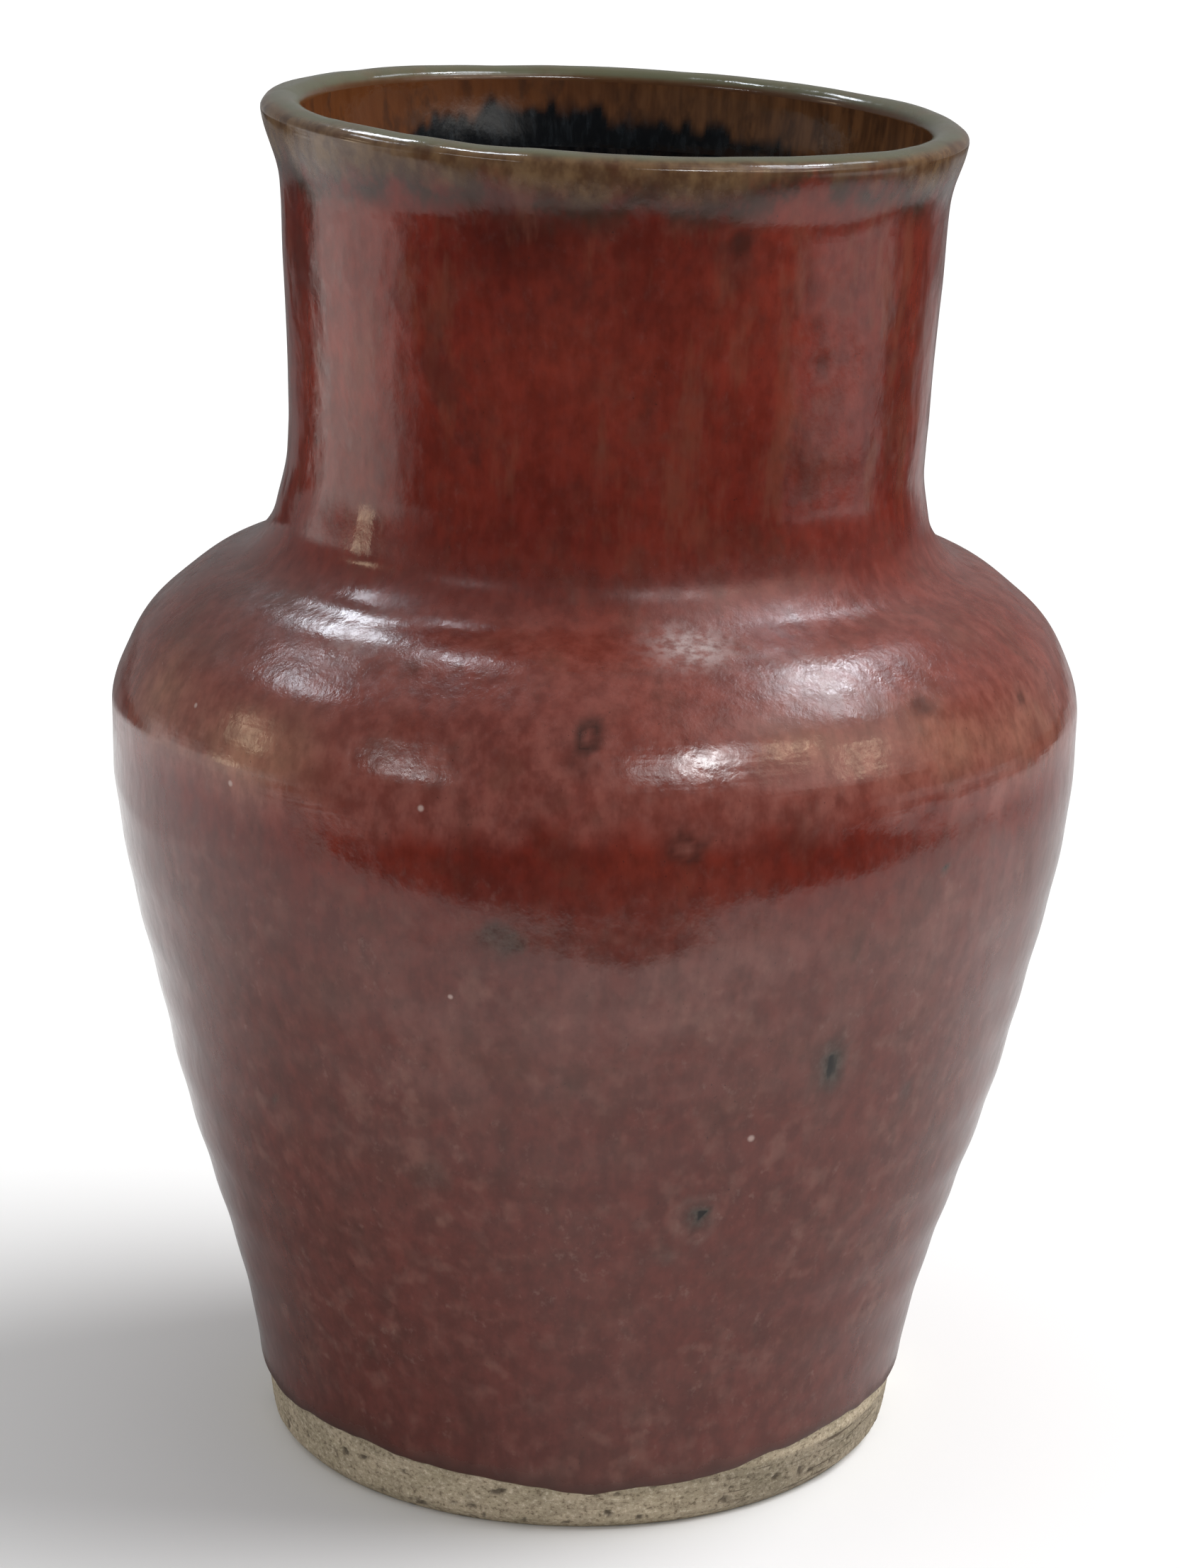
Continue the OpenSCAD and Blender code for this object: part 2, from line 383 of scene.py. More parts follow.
# Iron spots: angle, height, half width, half height, darkness, paleness of the ring round it
SPOTS = [
    (20.2, 186.3, 2.3, 2.6, 0.75, 0.1), (34.5, 179.3, 2.3, 3, 0.35, 0.2), (37.6, 168.7, 1.9, 2.2, 0.5, 0.25),
    (-1.6, 121, 3.2, 2.6, 0.3, 0), (41.6, 124.3, 2.8, 1.9, 0.55, 0.1), (60.3, 121.7, 1.6, 1.6, 0.6, 0.2),
    (39.8, 111.3, 1.1, 1.6, 0.5, 0), (43, 102.1, 1, 1, 0.9, 0), (-9.8, 97.2, 5.4, 3.6, 0.62, 0.1),
    (30.4, 75.7, 3.4, 6.6, 0.6, 0.25), (30.2, 75.2, 2, 3.6, 0.95, 0), (14.5, 53.3, 2.6, 3, 0.55, 0.6),
    (15.2, 54, 1.9, 1.7, 0.95, 0), (11, 47.5, 3.2, 2.2, 0.3, 0), (43.9, 67.6, 1.2, 3.2, 0.35, 0.2),
    (-43.7, 65.2, 0.8, 0.8, 0.9, 0), (-20, 59, 4.2, 3.6, 0.3, 0), (112, 118, 2.2, 2.2, 0.7, 0.3),
    (138, 84, 2.4, 3.4, 0.7, 0.5), (171, 171, 2.2, 2.6, 0.6, 0.4), (-158, 104, 1.8, 1.8, 0.7, 0.3),
    (-131, 61, 2.5, 4.4, 0.65, 0.5), (-112, 128, 2.1, 2.1, 0.6, 0.3), (-96, 160, 1.6, 2, 0.5, 0.4),
    (-174, 42, 1.4, 1.8, 0.75, 0.2), (92, 49, 1, 1.2, 0.85, 0),
]
# Half width from which a spot is only a stain and not sunk
BROAD_SPOT = 3.0
# Burst bubbles with a dark ring: angle, height, half width, darkness of the ring, paleness of the middle
RING_SPOTS = [
    (10, 110.3, 2.3, 0.7, 0.9), (-1, 124.6, 2, 0.85, 0.15), (151, 96, 2, 0.6, 0.5),
    (-75, 88, 1.7, 0.5, 0.4),
]
# White specks, painted glints where tiny bubbles catch the light: angle, height, half width
PAINTED_GLINT_SPECKS = [
    (-16.1, 88, 0.5), (21, 66, 0.7), (-18.4, 114.1, 0.6), (-44.2, 112.8, 0.6), (-53.8, 121.5, 0.5),
]
# Soft patches in the red coat: strength, angle, height, half width, half height
TAN_PATCHES = [
    (0.85, -43, 118, 11, 5), (0.7, -62, 121, 10, 6), (0.8, 24, 122, 6, 2.5), (0.75, 40, 119.5, 10, 4.5),
    (0.35, 60, 117, 12, 5), (0.7, 165, 118, 22, 5), (0.6, -120, 116, 14, 6),
]
PALE_PATCHES = [(1, 14, 88, 17, 10), (0.7, -14, 82, 16, 9), (0.8, 40, 92, 18, 10), (0.6, 130, 80, 25, 14)]
# Pale mottled patches painted where highlights sit on the shoulder
PAINTED_HIGHLIGHT_PATCHES = [
    (1.1, 13.6, 133.5, 6, 2), (0.4, -35, 132.3, 5, 2.5), (0.5, 29, 128.5, 7, 3), (0.5, 128, 129, 6, 2),
]
# Radius at which the widths of the patches are measured
PATCH_RADIUS = 66
# Brightness of the red by height
TONE_HEIGHTS = [96, 100, 108, 112, 140, 151, 165, 178, 190]
TONES = [1.0, 0.88, 0.88, 1.0, 0.96, 1.0, 0.95, 0.8, 0.76]
# Heights between which looks of the outside coats begin or end
# The milky lower wall is partly the glaze's paler red and partly a painted reflection of the pale floor
MILKY_REFLECTION_END = (92, 110)
BLUSH_START = (107, 113.5)
BLUSH_FADE = (120, 127)
SATIN_START = (121, 127)
BLUSH_END = (133, 142)
NECK_START = (138, 150)
# Heights from which the neck's sides get painted light
SIDE_LIGHT_START = (156, 172)
# Distance over which the lower edge of the red coat rolls up, and its thickness where it begins
EDGE_ROLL = 1.4
EDGE_START = 0.02

line_spots = places(front, FOOT_LINE[0], 0)
line_wander = 0.4 * noise(line_spots, 7, 21) + 0.18 * noise(line_spots, 2.3, 22)
glaze_line = round_table(front, GLAZE_LINE) + line_wander


def spot_fields(radius, height, lean):
    """Darkness, paleness and sunk depth that the iron spots give to places on the coats."""
    dark = 0 * height
    pale = 0 * height
    sunk = 0 * height
    place = places(front, radius, height)
    rag = 0.22 * noise(place, 2.6, 31) + 0.12 * noise(place, 1.3, 32)
    steepness = np.maximum(0.35, np.cos(np.radians(lean)))
    for at, z, half_w, half_h, darkness, paleness in SPOTS:
        u = radius * np.radians(turn_from(front, at)) / half_w
        away = np.hypot(u, (height - z) / steepness / half_h) + rag
        dark = np.maximum(dark, darkness * (1 - smooth(away, 0.35, 1.05)))
        pale = np.maximum(pale, paleness * bell(away, 1.15, 0.22))
        if half_w < BROAD_SPOT:
            sunk += darkness * (0.16 * bell(away, 0, 0.7) - 0.05 * bell(away, 1.2, 0.3))
    for at, z, half, darkness, paleness in RING_SPOTS:
        u = radius * np.radians(turn_from(front, at)) / half
        away = np.hypot(u, (height - z) / half) + 1.5 * rag
        dark = np.maximum(dark, darkness * bell(away, 0.75, 0.38))
        pale = np.maximum(pale, paleness * bell(away, 0, 0.45))
        sunk += 0.1 * bell(away, 0, 0.6)
    return dark, pale, sunk


def outside_fields(place, seen_z, dark, pale):
    """Fields that both outside coats have, so that they meet without a line."""
    line = round_table(front, BROWN_LINE) + 1.8 * noise(place * [1, 1, 0.4], 9, 41)
    # Painted key light at the neck's right and a painted window reflection at its left
    painted_side_light = 0.33 * bell(front, 31, 12) + 0.45 * bell(front, -46, 24)
    smudge = 1 - 0.45 * bell(front, -16, 11) * bell(seen_z, 187.5, 6)
    tone_and_painted_light = np.interp(seen_z, TONE_HEIGHTS, TONES) * (1 + painted_side_light * smooth(seen_z, *SIDE_LIGHT_START))
    return {
        "brown": smooth(seen_z, line - 6, line + 5.5),
        "tone_and_painted_light": tone_and_painted_light * smudge,
        "neck": smooth(seen_z, *NECK_START),
        "stain": dark,
        "halo": pale,
    }


def patches(table, seen_z, cloudy):
    """Soft oval patches, broken up a little by a cloudy field."""
    total = 0 * seen_z
    for strength, at, z, half_w, half_h in table:
        sideways = PATCH_RADIUS * np.radians(turn_from(front, at))
        total += strength * bell(sideways, 0, half_w) * bell(seen_z, z, half_h)
    return total * (0.75 + 0.5 * cloudy)


def red_fields(place, seen_z, shares):
    """Fields that only the red coat has."""
    cloudy = noise(place * [1, 1, 0.6], 14, 44)
    broken = 2.2 * noise(place * [1, 1, 0.8], 6, 45) + 1.2 * noise(place, 2.6, 46)
    shoulder = smooth(seen_z + 2 * cloudy + broken, *BLUSH_START)
    shoulder = shoulder * (1 - smooth(seen_z + 3 * cloudy, *BLUSH_END))
    milky_reflection_z = seen_z + 3 * noise(place * [1, 1, 0.5], 16, 42)
    above_line = shares[:, None] + 0.8 * noise(place, 5, 43)
    return {
        "milky_and_reflection": 1 - smooth(milky_reflection_z, *MILKY_REFLECTION_END),
        "blush": shoulder * (1 - 0.3 * smooth(seen_z, *BLUSH_FADE)),
        "satin": shoulder * (0.35 + 0.65 * smooth(seen_z, *SATIN_START)),
        "root": bell(seen_z, 139.5, 4) * smooth(front, -42, -34),
        "edge": 1 - smooth(above_line, 0.5, 3.6),
        "tan": patches(TAN_PATCHES, seen_z, cloudy),
        "pale": patches(PALE_PATCHES, seen_z, cloudy),
        "painted_highlight": patches(PAINTED_HIGHLIGHT_PATCHES, seen_z, cloudy),
    }


def follow_line(shares):
    """Distances up the wall for rows that follow the glaze line at the bottom and run level further up."""
    return shares[:, None] + glaze_line * (1 - smooth(shares, 3, 20)[:, None])


def red_coat():
    """The copper-red coat, and the place and half width in metres of each white speck of painted glint."""
    roll = np.linspace(0, EDGE_ROLL, 7) ** 1.5 / EDGE_ROLL ** 0.5
    shares = np.concatenate([
        roll, [1.9, 2.6, 3.4, 4.3], np.arange(5.3, 92, 1.15), np.arange(92, 158, 0.75),
        np.arange(158, TOP_RUN - 0.4, 1.1), [TOP_RUN],
    ])
    rise = np.clip(shares / EDGE_ROLL, 0, 1)
    coat = RED_COAT * np.sqrt(1 - (1 - rise) ** 2) + 0.06 * bell(shares, 2.4, 1.4) * rise
    coat = coat + smooth(shares, TOP_RUN - THIN_H, TOP_RUN) * (LIP_COAT - coat)
    radius, height, lean = thrown(follow_line(shares), front, np.maximum(coat, EDGE_START)[:, None])
    place = places(front, radius, height)
    seen_z = settled(place)[..., 2]
    dark, pale, sunk = spot_fields(radius, seen_z, lean)
    sunk = sunk * (1 - smooth(shares, TOP_RUN - 8, TOP_RUN - 3))[:, None]
    outside = pushed(radius, height, lean, -sunk)
    back_shares = np.concatenate([np.linspace(TOP_RUN, 100, 32), np.linspace(94, 0, 16)])
    inside = thrown(follow_line(back_shares), front)[:2]
    fields = {**outside_fields(place, seen_z, dark, pale), **red_fields(place, seen_z, shares)}
    piece = coat_piece("outer_glaze_coat", "outer_glaze", outside, inside, fields)
    glint_specks = []
    for angle, z, half in PAINTED_GLINT_SPECKS:
        column = np.abs(front - angle).argmin()
        row = np.abs(seen_z[:, column] - z).argmin()
        glint_specks.append((settled(place[row, column]) * MM, half * MM))
    return piece, glint_specks


# Coat over the lip

lip_path = curve([THROAT, LIP_EDGE, LIP_CROWN, LIP_INSIDE], [0.7, 0.4, 0.3])
lip_run = runs(lip_path)[:, None]
LIP_END = lip_run[-1, 0]
# Distances over the lip between which its polish and its green begin
POLISH_START = (8.2, 10.4)
GREEN_START = (11.6, 13.2)


def lip_unevenness():
    """How far the clay of the lip stands out: as the wall does where it begins, then in its own way."""
    spot = places(front, LIP_ROUND, 0.4 * lip_path[:, 1, None])
    own = 0.22 * noise(spot, 24, 51) + 0.1 * noise(spot, 9, 52) + 0.035 * noise(spot, 3.6, 53) - 0.18
    share = smooth(lip_run, 0, 6)
    return unevenness(TOP_RUN, THROAT[1], front) * (1 - share) + share * own


lip_off = lip_unevenness()


def lip_coat():
    """The coat over the lip, brown below and green-grey on the crown."""
    outside = laid(lip_path, lip_off + LIP_COAT)
    inside = laid(lip_path[BACKWARDS], lip_off[BACKWARDS])
    place = places(front, *outside)
    seen_z = settled(place)[..., 2]
    dark, pale, _ = spot_fields(outside[0], seen_z, lip_path[:, 2, None])
    crown = smooth(lip_run + 0.5 * noise(place, 8, 61), *GREEN_START)
    fields = outside_fields(place, seen_z, dark, pale)
    fields["polish"] = smooth(lip_run, *POLISH_START)
    fields["green"] = crown * (1 - smooth(lip_run, LIP_END - 1.0, LIP_END))
    fields["inward"] = smooth(lip_run, LIP_END - 1.2, LIP_END)
    return coat_piece("lip_glaze_coat", "lip_glaze", outside, inside, fields)


# Amber coat inside the mouth

# Angle and height of the line where the amber turns dark
DARK_LINE = [
    (-170, 195), (-158, 195.3), (-143, 192.5), (-128, 189.8), (-100, 190.4), (-60, 191.2), (0, 191.4),
    (60, 191), (134, 189.8), (148, 191.5), (160, 192.8), (175, 193.6),
]

throat_inside = across(THROAT, NECK_WALL)
rim_path = curve([LIP_INSIDE, throat_inside], [0.6])
rim_share = np.linspace(0, 1, len(rim_path))[:, None]
rim_off = lip_off[-1:] * (1 - rim_share)


def rim_coat():
    """The amber coat, which turns dark below a ragged line."""
    outside = laid(rim_path, rim_off + LIP_COAT + (DARK_COAT - LIP_COAT) * rim_share)
    inside = laid(rim_path[BACKWARDS], rim_off[BACKWARDS])
    place = places(front, *outside)
    streaks = 1.7 * noise(place * [1, 1, 0.12], 2.4, 71) + 1.1 * noise(place * [1, 1, 0.2], 1.2, 72)
    line = round_table(front, DARK_LINE) + streaks
    orange = smooth(np.cos(np.radians(front + 125)), 0.2, 1)
    fields = {
        "dark": 1 - smooth(outside[1], line - 1.3, line + 1.3),
        "orange": np.broadcast_to(orange, outside[1].shape),
    }
    return coat_piece("inner_rim_glaze_coat", "inner_rim_glaze", outside, inside, fields)


# Dark lining

corner_share = (FLOOR + CORNER_H - FOOT_LINE[1]) / (MID_WALL[1] - FOOT_LINE[1])
corner_inside = across(between(FOOT_LINE, MID_WALL, corner_share), FOOT_WALL)
floor_edge = (corner_inside[0] - CORNER_W, FLOOR, -90.0)
inner_stations = [
    throat_inside, across(WAIST, NECK_WALL), across(ROOT, NECK_WALL), across(SHOULDER, BODY_WALL),
    across(BELLY, BODY_WALL), across(MID_WALL, BODY_WALL), corner_inside, floor_edge,
]
floor_rows = [(radius, FLOOR, -90.0) for radius in np.linspace(floor_edge[0], 0, 9)[1:]]


def well(step, corner_step, grooved):
    """Path down the inside and its offset. The face behind the coat runs at the bottom of the grooves."""
    path = np.concatenate([curve(inner_stations, [step] * 6 + [corner_step]), floor_rows])
    run = runs(path)[:, None]
    spot = places(front, WELL_ROUND, run)
    depth = np.interp(path[:, 1, None], GROOVE_HEIGHTS, GROOVE_DEPTHS)
    spiral = run + PITCH * front / 360
    fade = hump(run, 0, 10, run[-1] - 30, run[-1])
    groove = (np.cos(2 * np.pi * spiral / PITCH) - 1) / 2 if grooved else -1
    return path, depth * groove + fade * 0.25 * noise(spot, 26, 81)


back_path, back_off = well(8.0, 3.0, False)


def liner_coat():
    """The dark lining of the rest of the inside."""
    path, offset = well(1.8, 1.8, True)
    outside = laid(path, offset + DARK_COAT)
    inside = laid(back_path[::-1], back_off[::-1])
    return coat_piece("liner_glaze_coat", "liner_glaze", outside, inside, {})


# Clay body

# Points of the bevel round the foot, and the bottom of the foot's side above it
BEVEL = [(45.45, 0.02), (45.8, 0.25), (46.3, 0.75), (46.8, 1.25), (47.15, 1.75)]
SIDE_START = (47.2, 1.75)
RING_OUTER = 45.3
PIT_DEPTH = 0.32
# Rows under the coat, next to the glaze line, that the bake treats as seen
ROWS_AT_LINE = 3


def foot_outline():
    """Radius and height from the axis, under the foot and up its side to the glaze line."""
    hollow_r = RING_INNER - RECESS
    hollow = [(r, RECESS) for r in np.linspace(0, hollow_r, 18)[:-1]]
    cove = [(hollow_r + RECESS * math.sin(a), RECESS * math.cos(a)) for a in np.radians(range(0, 91, 15))]
    ring = [(r, 0) for r in np.linspace(RING_INNER, RING_OUTER, 12)[1:]]
    side = np.linspace(SIDE_START, FOOT_LINE[:2], 15)[1:]
    return np.concatenate([hollow, cove, ring, BEVEL, side])


def foot():
    """Radius and height of the gritty foot at each row and column, and its fields."""
    radius, height = (part[:, None] + 0 * clay_front for part in foot_outline().T)
    spot = places(clay_front, radius, height)
    grit = 0.06 * noise(spot, 0.9, 91) + 0.05 * noise(spot, 2.2, 92)
    pits = smooth(noise(spot, 1.5, 93) + 0.4 * noise(spot, 0.7, 94), 0.62, 0.95)
    worked_and_painted_light = smooth(np.cos(np.radians(clay_front - 58)), 0.7, 0.97)
    # Painted light: the foot is paler on its left, the side in shade
    painted_fill_light = 0.35 * smooth(np.cos(np.radians(clay_front + 52)), 0.6, 1.0)
    grooves = 0.1 * (0.35 + worked_and_painted_light) * noise(spot * [0.1, 0.1, 1], 0.55, 95)
    side = hump(height, 0.6, 2.2, 6.4, 7.0)
    rough = np.maximum(side, 0.35) * (grit - PIT_DEPTH * pits + side * grooves) - 0.06
    rough_r = radius + np.where((height > 0.3) & (radius > 40), np.minimum(rough, 0.05), 0)
    under = 0.06 * noise(spot, 1.4, 96) + 0.05 * np.cos(2 * np.pi * radius / 2.6) - 0.12
    underside = ((height <= 0.3) | (radius < 35)) & (radius < 45.2)
    rough_z = height - np.where(underside, np.minimum(under, 0), 0)
    return rough_r, rough_z, {"worked_and_painted_light": (worked_and_painted_light - painted_fill_light) * smooth(rough_r, 45, 46.5), "pit": pits}


def spread(rows):
    """The same rows at the clay's finer angles."""
    at = np.arange(CLAY_TURNS) / CLAY_TURNS * TURNS
    return np.array([np.interp(at, np.arange(TURNS + 1), np.append(row, row[0])) for row in rows])


def clay_body():
    """The clay: underside and foot, then the faces under the coats."""
    foot_r, foot_z, fields = foot()
    run = np.concatenate([np.arange(1.0, 8, 1.0), np.arange(8, 96, 8.0), np.arange(96, TOP_RUN, 4.4)])
    wall = thrown(run[:, None], clay_front)[:2]
    lip = laid(lip_path[::3], lip_off[::3])
    rim = laid(rim_path[3::4], rim_off[3::4])
    lined = laid(back_path, back_off)
    blocks = [(foot_r, foot_z), wall]
    for radius, height in (lip, rim, lined):
        blocks.append((spread(radius), spread(height)))
    return turned("clay_body_foot", "clay_body", blocks, len(foot_r) + ROWS_AT_LINE, fields)


red_piece, glint_speck_places = red_coat()
lip_piece = lip_coat()
rim_piece = rim_coat()
liner_piece = liner_coat()
clay_piece = clay_body()


# Materials

class Value:
    """A number, colour or direction in a material: an output of one of its nodes."""

    def __init__(self, surface, socket):
        self.surface = surface
        self.socket = socket

    def __add__(self, other):
        return self.surface.math("ADD", self, other)

    def __sub__(self, other):
        return self.surface.math("SUBTRACT", self, other)

    def __rsub__(self, other):
        return self.surface.math("SUBTRACT", other, self)

    def __mul__(self, other):
        return self.surface.math("MULTIPLY", self, other)

    def __truediv__(self, other):
        return self.surface.math("DIVIDE", self, other)

    def span(self, low, high, to_low=0.0, to_high=1.0):
        """This number carried from one range to another, with soft ends."""
        inputs = {"Value": self, "From Min": low, "From Max": high, "To Min": to_low, "To Max": to_high}
        return self.surface.value("ShaderNodeMapRange", inputs, 0, interpolation_type="SMOOTHSTEP")

    def toward(self, colour, share):
        """This colour mixed with another one, which has that share."""
        return self.surface.mix(self, colour, share)

    def scaled(self, share):
        """This colour with its brightness multiplied."""
        return self.surface.value("ShaderNodeVectorMath", {0: self, "Scale": share}, 0, operation="SCALE")


class Surface:
    """One procedural material."""

    def __init__(self, name):
        self.material = bpy.data.materials.new(name)
        self.material.use_nodes = True
        self.tree = self.material.node_tree
        self.shader = self.tree.nodes["Principled BSDF"]
        self.place = self.value("ShaderNodeTexCoord", {}, "Object")

    def value(self, kind, inputs, output, **settings):
        """One output of a new node with those inputs and settings."""
        made = self.tree.nodes.new(kind)
        for key, setting in settings.items():
            setattr(made, key, setting)
        for key, given in inputs.items():
            self.feed(made.inputs[key], given)
        return Value(self, made.outputs[output])

    def feed(self, socket, given):
        """Links a value to an input, or sets a constant on it."""
        if isinstance(given, Value):
            self.tree.links.new(given.socket, socket)
        else:
            socket.default_value = given

    def field(self, name):
        """A field of the mesh."""
        return self.value("ShaderNodeAttribute", {}, "Fac", attribute_name=name)

    def noise(self, size, upright, detail, rough=0.55, sideways=1):
        """Noise with features of that many millimetres, in coordinates multiplied upright and sideways."""
        stretch = (sideways, sideways, upright)
        place = self.value("ShaderNodeVectorMath", {0: self.place, 1: stretch}, 0, operation="MULTIPLY")
        inputs = {"Vector": place, "Scale": 1 / MM / size, "Detail": detail, "Roughness": rough}
        return self.value("ShaderNodeTexNoise", inputs, "Fac")

    def math(self, operation, a, b=0.0):
        """A sum of one or two numbers, of the kind that the node calls by that name."""
        return self.value("ShaderNodeMath", {0: a, 1: b}, 0, operation=operation)

    def mix(self, a, b, share):
        """Colour a mixed with colour b, which has that share."""
        a, b = (colour if isinstance(colour, Value) else (*colour, 1) for colour in (a, b))
        return self.value("ShaderNodeMix", {0: share, 6: a, 7: b}, 2, data_type="RGBA")

    def bump(self, height, depth, normal=None):
        """Direction of a surface with relief of that many millimetres, on top of other relief."""
        inputs = {"Height": height, "Distance": depth * MM, "Strength": 1.0}
        if normal is not None:
            inputs["Normal"] = normal
        return self.value("ShaderNodeBump", inputs, 0)

    def finish(self, piece, colour, rough, **others):
        """Sets the shader's inputs and gives the material to the piece."""
        for key, given in {"Base_Color": colour, "Roughness": rough, **others}.items():
            self.feed(self.shader.inputs[key.replace("_", " ")], given)
        piece.data.materials.append(self.material)


GLAZE_IOR = 1.5
CLAY_ROUGH = 0.92
# How much rougher the outside coats are where they turn brown
BROWN_ROUGH = 0.16

# Colours of the outside coats
DEEP_RED = (0.12, 0.014, 0.008)
CLEAR_RED = (0.165, 0.024, 0.0135)
# Milky red: the glaze's paler red with a painted reflection of the pale floor in it
MILKY_RED_WITH_REFLECTION = (0.104, 0.03, 0.023)
GREY_RED = (0.1, 0.037, 0.028)
PINK = (0.19, 0.078, 0.064)
BLUSH = (0.186, 0.06, 0.047)
SMOKE = (0.085, 0.031, 0.02)
TAN = (0.29, 0.135, 0.08)
CURD = (0.185, 0.083, 0.064)
FLECK = (0.21, 0.115, 0.095)
PEPPER = (0.03, 0.011, 0.009)
TAWNY = (0.165, 0.056, 0.032)
SCORCH = (0.06, 0.014, 0.01)
SMOKY_BROWN = (0.042, 0.017, 0.01)
DARK_OLIVE = (0.07, 0.033, 0.015)
PALE_OLIVE = (0.14, 0.08, 0.038)
HALO = (0.2, 0.14, 0.115)
IRON_BROWN = (0.036, 0.013, 0.009)
IRON_BLACK = (0.024, 0.023, 0.017)
IRON_GREY = (0.06, 0.056, 0.045)
IRON_CORE = (0.008, 0.005, 0.004)
GLAZE_EDGE = (0.06, 0.022, 0.014)
# Pale mauve grey of the painted highlights
PAINTED_HIGHLIGHT_PALE = (0.5, 0.42, 0.41)
# White of the specks, painted glints on tiny bubbles
GLINT_SPECK_PALE = (0.46, 0.34, 0.3)
CELADON = (0.09, 0.089, 0.05)
RIM_BROWN = (0.11, 0.042, 0.014)

# Colours of the inside coats
DARK_AMBER = (0.085, 0.037, 0.017)
PALE_AMBER = (0.18, 0.078, 0.032)
ORANGE = (0.115, 0.032, 0.008)
BURNT_AMBER = (0.045, 0.02, 0.011)
DARK_STREAK = (0.0035, 0.0045, 0.006)
BLUE_STREAK = (0.012, 0.016, 0.02)
LINER_BLACK = (0.004, 0.005, 0.0065)
LINER_GREY = (0.02, 0.018, 0.018)
LINER_BROWN = (0.03, 0.014, 0.008)

# Colours of the clay
BUFF = (0.385, 0.32, 0.215)
PALE_BUFF = (0.5, 0.41, 0.29)
SAND = (0.25, 0.2, 0.14)
DARK_GRAIN = (0.15, 0.11, 0.07)
PALE_GRAIN = (0.7, 0.61, 0.47)
SCRATCH = (0.085, 0.056, 0.036)
PIT = (0.07, 0.05, 0.034)


def glaze_grain(glaze):
    """Noises that break up the colour of the outside coats."""
    return SimpleNamespace(
        cloud=glaze.noise(24, 0.6, 4),
        blotch=glaze.noise(7, 0.75, 3),
        mottle=glaze.noise(2.6, 0.7, 3, 0.6),
        fine=glaze.noise(1.3, 0.75, 3, 0.65),
        streak=glaze.noise(3.2, 0.08, 3, 0.6),
        speckle=glaze.noise(0.45, 0.7, 2, 0.7),
        hair=glaze.noise(1.1, 0.16, 2, 0.6),
    )


def red_ground(glaze, grain):
    """Red, milky below with painted floor reflection, blushed on the shoulder, mottled and peppered all over.
    """
    # The tone field also carries the painted light on the neck's sides
    red = glaze.mix(DEEP_RED, CLEAR_RED, grain.cloud.span(0.3, 0.7)).scaled(glaze.field("tone_and_painted_light"))
    # Milky lower wall: the glaze's paler red with a painted reflection of the pale floor
    milky_and_reflection = glaze.field("milky_and_reflection") * grain.blotch.span(0.25, 0.75, 0.84, 1)
    colour = red.toward(MILKY_RED_WITH_REFLECTION, milky_and_reflection)
    colour = colour.toward(GREY_RED, milky_and_reflection * glaze.noise(15, 0.7, 5, 0.6).span(0.46, 0.7, 0, 0.55))
    colour = colour.toward(PINK, glaze.field("pale") * grain.blotch.span(0.36, 0.6, 0.1, 1))
    blush = glaze.field("blush") * (grain.mottle + grain.blotch).span(0.7, 1.3, 0.45, 0.95)
    colour = colour.toward(BLUSH, blush)
    smoke = glaze.noise(10, 0.8, 4, 0.62).span(0.52, 0.68, 0, 0.4)
    colour = colour.toward(SMOKE, smoke * grain.mottle.span(0.35, 0.6, 0.5, 1))
    colour = colour.toward(TAN, glaze.field("tan") * grain.blotch.span(0.3, 0.7, 0.45, 1))
    curds = glaze.noise(3.4, 0.9, 2, 0.5).span(0.46, 0.7)
    curds = curds * glaze.noise(13, 0.8, 3).span(0.42, 0.62, 0.15, 0.5)
    colour = colour.toward(CURD, curds * milky_and_reflection)
    flecks = grain.fine.span(0.55, 0.75) * (milky_and_reflection * 0.34 + 0.08)
    flecks = flecks * glaze.noise(9, 0.8, 3).span(0.42, 0.66, 0.25, 1)
    colour = colour.toward(FLECK, flecks)
    colour = colour.toward(PEPPER, grain.speckle.span(0.33, 0.24) * grain.blotch.span(0.42, 0.6, 0.1, 0.7))
    colour = colour.scaled(grain.mottle.span(0.3, 0.7, 0.84, 1.16))
    return colour.scaled(grain.hair.span(0.3, 0.7, 0.97, 1.03))


def neck_tones(glaze, grain, colour):
    """Streaks and burnt patches on the neck, where the coat thins to olive brown towards the lip."""
    neck = glaze.field("neck")
    colour = colour.scaled(((grain.streak - 0.5) * neck).span(-0.2, 0.2, 0.94, 1.06))
    colour = colour.toward(TAWNY, neck * glaze.noise(6, 0.28, 4, 0.62).span(0.5, 0.68, 0, 0.4))
    colour = colour.toward(SCORCH, neck * glaze.noise(11, 0.7, 4, 0.6).span(0.56, 0.7, 0, 0.5))
    ragged = glaze.field("brown") + (grain.streak - 0.5) * 0.5 + (grain.blotch - 0.5) * 0.6
    smoky = ragged.span(0, 0.5) * glaze.noise(5, 0.8, 4, 0.62).span(0.36, 0.58, 0.35, 1)
    colour = colour.toward(SMOKY_BROWN, smoky)
    olive = glaze.mix(DARK_OLIVE, PALE_OLIVE, grain.mottle.span(0.32, 0.66))
    return colour.toward(olive, ragged.span(0.5, 1.05))


def iron_stains(glaze, grain, colour):
    """Pale halos, then stains, brown on red and grey on the milky wall's painted reflection, then black
    cores.
    """
    stain = glaze.field("stain")
    colour = colour.toward(HALO, glaze.field("halo") * 0.35)
    grey_iron = glaze.mix(IRON_BLACK, IRON_GREY, grain.fine.span(0.35, 0.65))
    iron = glaze.mix(IRON_BROWN, grey_iron, glaze.field("milky_and_reflection").span(0.1, 0.6))
    return colour.toward(iron, stain).toward(IRON_CORE, stain.span(0.78, 0.95))


